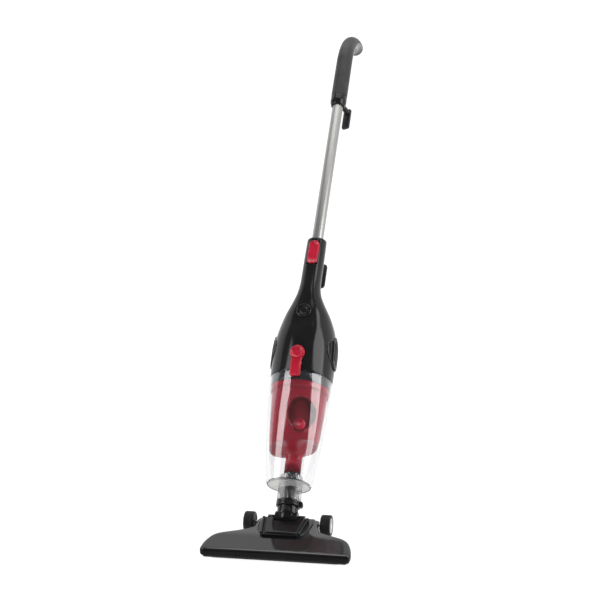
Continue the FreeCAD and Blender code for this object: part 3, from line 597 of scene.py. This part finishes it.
sleeve_wall = softened([(20.1, 32.6), (21.7, 32.6), (21.7, 54), (21.3, 66), (20.9, 79), (19.6, 79),
                        (19.9, 54)], 0.6, steps=3)
piece("sleeve_tube", lathe(sleeve_wall, 260, closed=True, wave=sleeve_ribs), NECK,
      "clear_plastic", "cup", ("inlet_sleeve",), 60)
pipe_wall = softened([(12, 32.8), (13.4, 32.8), (13.4, 109), (12.8, 110), (12, 110)], 0.4, steps=3)
piece("inlet_pipe_wall", lathe(pipe_wall, 72, closed=True), NECK, "navy_plastic", "cup",
      ("inlet_pipe",))


# ---------------------------------------------------------------- vortex shroud
def skirt(angle):
    """Height of the shroud's lower edge, higher on the right."""
    return 127.5 + 8.0 * math.cos(angle + 0.25) + 1.6 * math.cos(3 * angle + 1.0)


SHROUD = [(43.3, 125), (44.6, 133), (47, 152), (50, 200), (51.3, 226), (52.0, 230), (54.3, 232.5),
          (54.5, 236), (54.5, 242.3)]


def shroud_rings():
    steps = 120
    rows = smooth_rows(SHROUD, 3)

    def ring(radius, height, y=0.0):
        made = []
        for index in range(steps):
            angle = TURN * index / steps
            level = height + max(0.0, (160 - height) / 35) * (skirt(angle) - 125) if height < 160 else height
            made.append((radius * math.cos(angle), y + radius * math.sin(angle), level))
        return made

    def plain(radius, height, y):
        return [(radius * math.cos(TURN * i / steps), y + radius * math.sin(TURN * i / steps), height)
                for i in range(steps)]

    rings = [plain(13.7, 84.6, 15), plain(15.2, 84.4, 15), plain(15.2, 112, 15), plain(15.6, 117, 15),
             plain(17.5, 121, 14.3), ring(28, 124.4, 8), ring(38, 124.8, 3), ring(42.4, 125.2, 0)]
    rings += [ring(radius, height) for radius, height in rows]
    rings += [ring(radius - 1.8, height) for radius, height in reversed(rows)]
    rings += [ring(40.8, 127, 0), ring(36.4, 126.8, 3), ring(26.6, 126.4, 8), plain(15.8, 122.6, 14.4),
              plain(13.8, 117, 15), plain(13.7, 112, 15)]
    return rings


shroud = new_object("shroud_shell", skin(shroud_rings(), closed=True), CUP)
shroud_source = uncut_copy(shroud)


SCROLL_HUB = (16.5, 158)   # x and height of the round at the window's foot


def scroll(grow=0.0):
    """Outline of the inlet window, an oval that runs into the round of its hub, in x and height."""
    points = []
    for index in range(57):
        angle = math.radians(-50 + 276 * index / 56)
        points.append((17.5 + (24 + grow) * math.cos(angle), 182 + (29 + grow) * math.sin(angle)))
    for index in range(13):
        angle = math.radians(200 + 140 * index / 12)
        points.append((SCROLL_HUB[0] + (12.6 + grow) * math.cos(angle),
                       SCROLL_HUB[1] + (12.6 + grow) * math.sin(angle)))
    return points


def along_y(outline, low, high):
    """Slab over an outline of x and height, for cutting."""
    return skin([[(x, low, z) for x, z in outline], [(x, high, z) for x, z in outline]])


carve(shroud, CUP, along_y(scroll(), -70, -18))
keep_normals(shroud, shroud_source)
dress(shroud, "red_clear", "cup", ("vortex_shroud",), angle=0)


def scroll_pocket():
    """Walls and curved floor of the recess behind the window."""
    def depth(x, radius):
        return -math.sqrt(max(radius ** 2 - x * x, 18 ** 2))

    def ring(grow, radius):
        return [(x, depth(x, radius), z) for x, z in scroll(grow)]

    def floor_ring(share, radius):
        return [(17 + (x - 17) * share, depth(17 + (x - 17) * share, radius), 180 + (z - 180) * share)
                for x, z in scroll(1.2)]

    wall = skin([ring(-0.1, 47.6), ring(-0.1, 38.4), ring(1.2, 38.4), ring(1.2, 47.6)], closed=True)
    shares = [1.0, 0.8, 0.6, 0.4, 0.2, 0.02]
    near_rings = [floor_ring(share, 38.4) for share in reversed(shares)]
    far_rings = [floor_ring(share, 37.2) for share in shares]
    floor = skin(near_rings + far_rings)
    return merged(wall, floor)


pocket = piece("scroll_pocket", scroll_pocket(), CUP, "red_clear", "cup")
# painted shade: the recess behind the window takes a darker, duller, opaque copy of the red plastic so it reads as
# shaded
pocket.data.materials[0] = surface("red_recess_painted_shade", (0.22, 0.002, 0.014), 0.5, second=(0.28, 0.004, 0.02),
                                   grain=500, Specular_IOR_Level=0.15)
lip = []
for reach, lift in ((-0.4, -0.4), (-0.2, 1.0), (0.6, 1.5), (1.6, 1.1), (2.2, 0.0), (0.8, -0.8)):
    lip.append([(x, -math.sqrt(max((49.0 + (z - 182) * 0.05 + lift) ** 2 - x * x, 400)), z) for x,
                z in scroll(reach)])
piece("scroll_lip", skin(lip, closed=True), CUP, "red_gloss", "cup")
hub_line = softened([(0.01, -50.2), (4.6, -50.2), (5.4, -48.8), (7.6, -48.6), (8.4, -49.6), (10.2, -49.4),
                     (10.6, -47.6), (10.6, -37), (0.01, -37)], 0.6, closed=False, steps=3)
hub_mesh = lathe([(p[0], -p[1]) for p in hub_line], 60)
moved(hub_mesh, Matrix.Translation((SCROLL_HUB[0], 0, SCROLL_HUB[1])) @ Matrix.Rotation(math.pi / 2, 4, "X"))
piece("scroll_hub", hub_mesh, CUP, "red_clear", "cup")
bead = [(52.2 + 0.7 * math.cos(a), 229.6 + 0.7 * math.sin(a)) for a in [TURN * i / 12 for i in range(12)]]
piece("shroud_bead", lathe(bead, 144, closed=True), CUP, "red_gloss", "cup")
band = softened([(41, 243), (55.0, 243), (55.5, 247), (55.5, 258.2), (41, 258.2)], 0.7, steps=3)
piece("filter_band", lathe(band, 144, closed=True), CUP, "navy_plastic", "cup", ("filter_frame",))

# ---------------------------------------------------------------- motor housing
BODY = [(259.9, 0, 57.9), (260.7, 0.05, 58.6), (270, 0.5, 59.05), (280, 1, 59.4), (300, 2, 59.8),
        (320, 2.8, 59.7), (335, 3, 58.8), (350, 2.2, 56.4), (364, 1, 53.2), (378, -2, 48.6),
        (390, -6, 43.6), (400, -10, 38.4), (410, -14, 33), (420, -17.8, 28), (430, -20.5, 24),
        (442, -21.2, 21.4), (455, -20.6, 20), (470, -19, 19.7), (500, -15.7, 19.6), (525, -13.1, 19.5),
        (544, -11, 19.2), (553.4, -10, 19), (555.3, -9.8, 18.3), (556, -9.7, 16.6)]


def body_at(s):
    """Centre y and radius of the housing at a station."""
    for low, high in zip(BODY, BODY[1:]):
        if s <= high[0]:
            share = (s - low[0]) / (high[0] - low[0])
            return low[1] + (high[1] - low[1]) * share, low[2] + (high[2] - low[2]) * share
    return BODY[-1][1:]


def body_ring(s, y, radius, steps=128):
    return [(radius * math.cos(TURN * i / steps), y + radius * math.sin(TURN * i / steps), s)
            for i in range(steps)]


body_rows = smooth_rows(BODY, 3)
TILT = CUP.inverted() @ HAND
BUTTON_S = 385   # stations of the power button and of the latch's round pad
LATCH_S = 294


def hand_box(x, y, z):
    return moved(block(x, y, z), TILT)


def tilted_rod(radius, low, high):
    return moved(skin([[(*p, low) for p in circle(radius, 64)], [(*p, high) for p in circle(radius, 64)]]),
                 TILT)


def housing_half(name, node_name, front):
    outside = skin([body_ring(*row) for row in body_rows])
    made = new_object(name, outside, CUP)
    source = uncut_copy(made)
    inside = skin([body_ring(s, y, radius - 2.4) for s, y, radius in body_rows[1:-9]])
    mouth = skin([[(*p, 250) for p in circle(56.2, 96)], [(*p, 262.5) for p in circle(56.2, 96)]])
    limit = block((-90, 90), (-11.9, 110) if front else (-110, -12.1), (200, 640))
    carve(made, CUP, mouth, inside, tilted_rod(11.35, 90, 160), tilted_rod(16.15, 52, 124.5))
    if front:
        stem = softened([(-10.5, 268.5), (10.5, 268.5), (10.5, 290), (-10.5, 290)], 2)
        carve(made, CUP, along_y(circle(11.6, 64, 0, BUTTON_S), -70, -40))
        carve(made, CUP, along_y(stem, -70, -50))
        carve(made, CUP, along_y(circle(14.6, 64, 0, LATCH_S), -70, -50))
        carve(made, CUP, hand_box((-10.9, 10.9), (-30, -12.4), (69.6, 123.4)))
    else:
        carve(made, CUP, block((-90, 90), (-10, 10), (296, 340)))
    carve(made, CUP, limit)
    keep_normals(made, source)
    dress(made, "gloss_black", "motor_unit", (node_name,), angle=0)


housing_half("housing_front_shell", "housing_front", True)
housing_half("housing_rear_shell", "housing_rear", False)


VENT_Y, VENT_S = 1, 317   # middle of the side vent
VENT_HALF_WIDE, VENT_HALF_TALL = 34, 29


def vent_frame(side):
    """Raised oval frame with upright bars over the housing's side vent."""
    def on_skin(y, s, lift):
        middle, radius = body_at(s)
        return side * math.sqrt(max((radius + lift) ** 2 - (y - middle) ** 2, 1)), y, s

    rings = []
    for share, lift in ((1.0, -0.6), (1.0, 0.9), (0.975, 1.7), (0.93, 1.8), (0.9, 1.0), (0.9, -0.6)):
        rings.append([on_skin(VENT_Y + VENT_HALF_WIDE * share * math.cos(a),
                              VENT_S + VENT_HALF_TALL * share * math.sin(a), lift)
                      for a in [TURN * i / 72 for i in range(72)]])
    bars = []
    for y in (-23, -13, -3, 7, 17, 27):
        tall = VENT_HALF_TALL * 0.93 * math.sqrt(1 - ((y - VENT_Y) / VENT_HALF_WIDE) ** 2)
        bars.append(skin([[on_skin(y - 2.2, s, -0.6), on_skin(y - 1.4, s, 1.1), on_skin(y + 0.6, s, 1.1),
                           on_skin(y + 1.2, s, -0.6)]
                          for s in [VENT_S - tall + 2 * tall * i / 16 for i in range(17)]]))
    return merged(skin(rings, closed=True), *bars)


piece("vent_frame_right", vent_frame(1), CUP, "gloss_black", "motor_unit", angle=45)
piece("vent_frame_left", vent_frame(-1), CUP, "gloss_black", "motor_unit", angle=45)

# ---------------------------------------------------------------- power button
BUTTON_TURN = Matrix.Translation((0, -50, BUTTON_S)) @ Matrix.Rotation(math.radians(84), 4, "X")
bezel_line = softened([(11.4, -2.6), (14.3, -1.2), (14.3, 1.4), (13.5, 2.5), (12.2, 2.5), (11.3, 1.2)],
                      0.7, steps=4)
piece("power_bezel", moved(lathe(bezel_line, 96, closed=True), BUTTON_TURN), CUP, "gloss_black",
      "motor_unit", ("power_button_ring",))
knob_line = softened([(0.01, -5.4), (10.6, -5.4), (10.6, 1.4), (9.6, 2.4), (7.2, 2.0), (6.7, 1.5), (6.1, 1.5),
                      (5.6, 1.9), (0.01, 1.6)], 0.5, closed=False, steps=3)
knob_mesh = lathe(knob_line, 96)
mark = prism([(x, z) for x, z in softened([(-0.6, 2.2), (0.6, 2.2), (0.6, 8.6), (-0.6, 8.6)], 0.5)], 1.5,
             2.5, "z", 0.15)
piece("power_knob", moved(merged(knob_mesh, mark), BUTTON_TURN), CUP, "gloss_black", "power_key",
      ("power_button",))


# ---------------------------------------------------------------- latch
def latch_face(x):
    """Gently curved front of the latch, like the housing behind it."""
    return -math.sqrt(66.0 ** 2 - x * x) + 2.2


def latch_slab():
    outline = []
    for index in range(41):
        angle = math.radians(-45 + 270 * index / 40)
        outline.append((13.9 * math.cos(angle), LATCH_S + 13.9 * math.sin(angle)))
    outline += [tuple(p) for p in softened([(-9.9, 281), (-9.9, 246.3), (9.9, 246.3), (9.9, 281)], 5.5,
                                           closed=False, steps=6)]
    rings = []
    for grow, lift in ((-0.6, 4.6), (0.0, 3.9), (0.0, 1.0), (-0.35, 0.25), (-1.0, 0.0), (-1.9, 0.1),
                       (-2.6, 0.7), (-3.4, 0.95)):
        ring = []
        for x, z in outline:
            centre = LATCH_S if z >= 281 else max(z, 256)
            reach = math.hypot(x, z - centre)
            scale = (reach + grow) / reach if reach > 0.1 else 1.0
            near = x * (1 + grow / max(abs(x), 9.9)) if 256 < z < 281 else x * scale
            ring.append((near, latch_face(near) + lift, centre + (z - centre) * scale))
        rings.append(ring)
    return skin(rings)


latch_mesh = latch_slab()
dish = softened([(0.01, 2.4), (7.4, 1.7), (9.6, 0.4), (10.6, -0.5), (11.4, -0.7), (12.2, -0.2),
                 (12.4, 2.4)], 0.8, closed=False, steps=4)
dish_mesh = lathe(dish, 72)
moved(dish_mesh, Matrix.Translation((0, -63.8, LATCH_S)) @ Matrix.Rotation(-math.pi / 2, 4, "X"))
ears = [block((low, high), (-61.5, -53.2), (270.7, 277.3)) for low, high in ((-9.4, -5), (5, 9.4))]
piece("latch_rocker", merged(latch_mesh, dish_mesh, *ears), CUP, "red_gloss", "latch", ("cup_latch",), 30)


# ---------------------------------------------------------------- tube release button
def release_button():
    """Curved rounded-rectangle key with a raised rim and a hollowed face."""
    corners = softened([(-10.3, 70.2), (10.3, 70.2), (10.3, 122.8), (-10.3, 122.8)], 9.2, steps=8)
    outline = []
    for index, point in enumerate(corners):
        after = corners[(index + 1) % len(corners)]
        outline.append(point)
        if (after - point).length > 10:
            outline += [point.lerp(after, t / 12) for t in range(1, 12)]
    middle = Vector((0, 96.5))
    rings = []
    for grow, lift in ((0, 2.2), (0, 1.2), (-0.35, 0.35), (-0.9, 0.0), (-1.7, 0.05), (-2.3, 0.5), (-3.2, 1.5),
                       (-5.5, 2.2), (-8.5, 2.5), (-11.4, 2.6)):
        ring = []
        for point in outline:
            arm = point - middle
            x = arm[0] - math.copysign(min(-grow, abs(arm[0]) * 0.97), arm[0])
            stretch = max(0.0, 1 + grow / abs(arm[1])) if abs(arm[1]) > 0.1 else 1.0
            curve = -math.sqrt(27.0 ** 2 - x * x) + 5.5
            ring.append((x, curve + lift, arm[1] * stretch + middle[1]))
        rings.append(ring)
    return skin(rings)


piece("release_key", release_button(), HAND, "red_gloss", "tube_button", ("tube_release_button",), 40)

# ---------------------------------------------------------------- cord hooks and gland
hook_outline = softened([(-17.8, 52.3), (17.8, 52.3), (17.8, 108.8), (-17.8, 108.8)], 9, steps=6)
lower_plate = prism(hook_outline, 39.2, 43.8, "y", 1.6)
lower_arm = moved(lathe([(8.2, -0.2), (6.6, 2.5), (5.9, 8), (6.2, 16), (7.2, 20.4)], 48),
                  Matrix.Translation((0, 19.6, 88)) @ Matrix.Rotation(-math.pi / 2, 4, "X"))
piece("cord_hook_lower", merged(lower_plate, lower_arm), HAND, "satin_black", "motor_unit",
      ("lower_cord_hook",))
gland_line = softened([(3.6, 0.4), (4.9, 0.4), (4.9, 6.1), (7, 6.1), (6.8, 8.2), (6.1, 9), (5.9, 10.4),
                       (5.3, 10.6), (5.7, 11.8), (5.5, 13), (5.0, 13.2), (5.4, 14.6), (5.2, 15.8),
                       (4.7, 16), (5.1, 17.4), (4.8, 19.9), (3.6, 19.9)], 0.3, steps=3)
inlet = next(mount for mount in frame["record"]["mounts"] if mount["name"] == "cord_inlet")
inlet_axis = Vector(inlet["axis"])
gland_frame = placed(Vector(inlet["pos_m"]) - inlet_axis * 0.010, ACROSS, inlet_axis)
piece("cord_gland_sleeve", lathe(gland_line, 72, closed=True), gland_frame, "black_rubber",
      "motor_unit", ("cord_gland",))
upper_outline = softened([(-8.3, 453.2), (8.3, 453.2), (8.3, 504.8), (-8.3, 504.8)], 4.5, steps=6)
upper_plate = prism(upper_outline, 37.1, 42.9, "y", 1.5)
upper_arm = moved(
    lathe([(2.95, -4.2), (2.95, 0.2), (6.6, 0.4), (6.0, 2.2), (5.6, 8), (6.0, 15), (7.4, 20.4)], 48),
    Matrix.Translation((0, 17.3, HOOK_POINT_V)) @ Matrix.Rotation(-math.pi / 2, 4, "X"))
piece("cord_hook_upper", merged(upper_plate, upper_arm), GRIP, "satin_black", "upper_hook",
      ("upper_cord_hook",))

# ---------------------------------------------------------------- tube and grip
tube_line_mm = softened([(10.2, 62.2), (11, 62.2), (11, 544.8), (10.2, 544.8)], 0.25, steps=3)
piece("steel_tube_wall", lathe(tube_line_mm, 96, closed=True), HAND, "steel_tube", "handle",
      ("extension_tube",))
CURL_START, CURL_RADIUS, CURL = 606.0, 125.0, math.radians(68)


def grip_frames(low=507.2, steps=34):
    """Centre, outward and forward directions along the grip's straight and curled path."""
    frames = []
    for index in range(13):
        frames.append((Vector((0, 0, low + (CURL_START - low) * index / 12)), 0.0))
    for index in range(1, steps + 1):
        angle = CURL * index / steps
        frames.append((Vector((0, CURL_RADIUS * (1 - math.cos(angle)),
                               CURL_START + CURL_RADIUS * math.sin(angle))), angle))
    return frames


def grip_half(front):
    """Softly rounded half section swept along the grip; the front half is the pad."""
    rings = []
    split = -3.0
    frames = grip_frames()
    for index, (centre, angle) in enumerate(frames):
        share = index / (len(frames) - 1)
        half = 16.9 - 0.5 * math.sin(math.pi * share) ** 2
        if not front:
            half -= 0.05
        edge = math.asin(split / half)
        if front:
            angles = [math.pi - edge + (math.pi + 2 * edge) * i / 40 for i in range(41)]
        else:
            angles = [edge + (math.pi - 2 * edge) * i / 40 for i in range(41)]
        ring = []
        flat = split - 0.25 if front else split + 0.25
        outline = [(half * math.cos(a), half * math.sin(a)) for a in angles]
        end_x = outline[-1][0]
        outline[0] = (outline[0][0] * 0.985, flat)
        outline[-1] = (outline[-1][0] * 0.985, flat)
        outline += [(end_x * (1 - 2 * i / 8) * 0.93, flat) for i in range(1, 8)]
        up = Vector((0, math.cos(angle), -math.sin(angle)))
        for x, y in outline:
            ring.append(centre + Vector((x, 0, 0)) + up * y)
        rings.append(ring)
    return skin(rings)


def tube_bore():
    return skin([[(*p, 500) for p in circle(11.05, 64)], [(*p, 547) for p in circle(11.05, 64)]])


pad = new_object("grip_front_pad", grip_half(True), HAND)
carve(pad, HAND, tube_bore())
dress(pad, "soft_grip", "handle", ("grip_pad",))
back = new_object("grip_rear_body", grip_half(False), HAND)
carve(back, HAND, tube_bore())
dress(back, "gloss_black", "handle", ("grip_body",))
tip = Vector((0, CURL_RADIUS - CURL_RADIUS * math.cos(CURL), CURL_START + CURL_RADIUS * math.sin(CURL)))
cap_line = softened([(0.01, 0.1), (16.3, 0.1), (16.9, 0.7), (16.7, 2.6), (14.6, 4.8), (9, 5.8), (0.01, 6)],
                    1.2, closed=False, steps=4)
cap_mesh = moved(lathe(cap_line, 96), Matrix.Translation(tip) @ Matrix.Rotation(-CURL, 4, "X"))
piece("grip_cap", cap_mesh, HAND, "satin_black", "handle", ("grip_end_cap",))
collar_line = softened([(11.05, 481.2), (13.2, 481.2), (14.2, 482.4), (16.2, 489.5), (16.8, 492),
                        (16.8, 506.8), (11.05, 506.8)], 1.0, steps=4)
grip_ring = new_object("grip_collar_ring", lathe(collar_line, 96, closed=True), GRIP)
hook_bore = along_y([(x, HOOK_POINT_V + z) for x, z in circle(3.1, 48)], 12, 30)
carve(grip_ring, GRIP, hook_bore)
dress(grip_ring, "gloss_black", "handle", ("grip_collar",))

# ---------------------------------------------------------------- stage, light and camera
def sweep_rows():
    """Floor that curves up into a backdrop."""
    rows = [(-40.0, 0.0), (2.6, 0.0)]
    turns = [math.pi / 2 * i / 16 for i in range(1, 17)]
    rows += [(2.6 + 1.6 * math.sin(a), 1.6 - 1.6 * math.cos(a)) for a in turns]
    return rows + [(4.2, 12.0)]


sweep = bmesh.new()
strips = [[sweep.verts.new((x, y, z - 0.0004)) for x in (-30, 30)] for y, z in sweep_rows()]
for low_edge, high_edge in zip(strips, strips[1:]):
    sweep.faces.new((low_edge[0], low_edge[1], high_edge[1], high_edge[0]))
floor = new_object("studio_sweep", sweep, Matrix.Identity(4))
floor.data.shade_smooth()
pale = bpy.data.materials.new("pale_sweep")
pale.use_nodes = True
paper = pale.node_tree.nodes["Principled BSDF"]
paper.inputs["Base Color"].default_value = (0.22, 0.22, 0.22, 1)
paper.inputs["Roughness"].default_value = 0.9
paper.inputs["Specular IOR Level"].default_value = 0.0
paper.inputs["Emission Color"].default_value = (1, 1, 1, 1)
paper.inputs["Emission Strength"].default_value = 0.93
floor.data.materials.append(pale)

world = bpy.data.worlds.new("studio")
world.use_nodes = True
world.node_tree.nodes["Background"].inputs["Color"].default_value = (1.0, 1.0, 1.0, 1)
world.node_tree.nodes["Background"].inputs["Strength"].default_value = 0.22
bpy.context.scene.world = world


def softbox(name, spot, aim, size, power):
    light = bpy.data.lights.new(name, "AREA")
    light.shape = "RECTANGLE"
    light.size, light.size_y = size
    light.energy = power
    lamp = bpy.data.objects.new(name, light)
    lamp.location = spot
    lamp.rotation_euler = (Vector(aim) - Vector(spot)).to_track_quat("-Z", "Y").to_euler()
    bpy.context.scene.collection.objects.link(lamp)
    return lamp


softbox("left_strip", (-1.66, -0.77, 1.3), (0, 0.3, 0.4), (0.95, 2.2), 30)
softbox("right_strip", (2.0, 0.21, 1.3), (0, 0.3, 0.4), (1.05, 2.4), 36)
softbox("overhead", (0.1, 1.2, 3.0), (0, 0.5, 0), (2.6, 1.8), 30)

camera_data = bpy.data.cameras.new("view")
camera_data.lens = 79.5
camera_data.sensor_width = 36
camera = bpy.data.objects.new("view", camera_data)
bpy.context.scene.collection.objects.link(camera)
eye = Vector((0.5347, -2.1251, 1.0273))
aim = Vector((-0.00007, 0.1834, 0.38856))
forward = (aim - eye).normalized()
side = forward.cross(Vector((0, 0, 1))).normalized()
up = side.cross(forward)
roll = math.radians(-2.57)
right = side * math.cos(roll) + up * math.sin(roll)
rise = -side * math.sin(roll) + up * math.cos(roll)
pose = Matrix((right, rise, -forward)).transposed().to_4x4()
pose.translation = eye
camera.matrix_world = pose
camera_data.clip_start, camera_data.clip_end = 0.05, 50
bpy.context.scene.camera = camera
bpy.context.scene.view_settings.view_transform = "Standard"
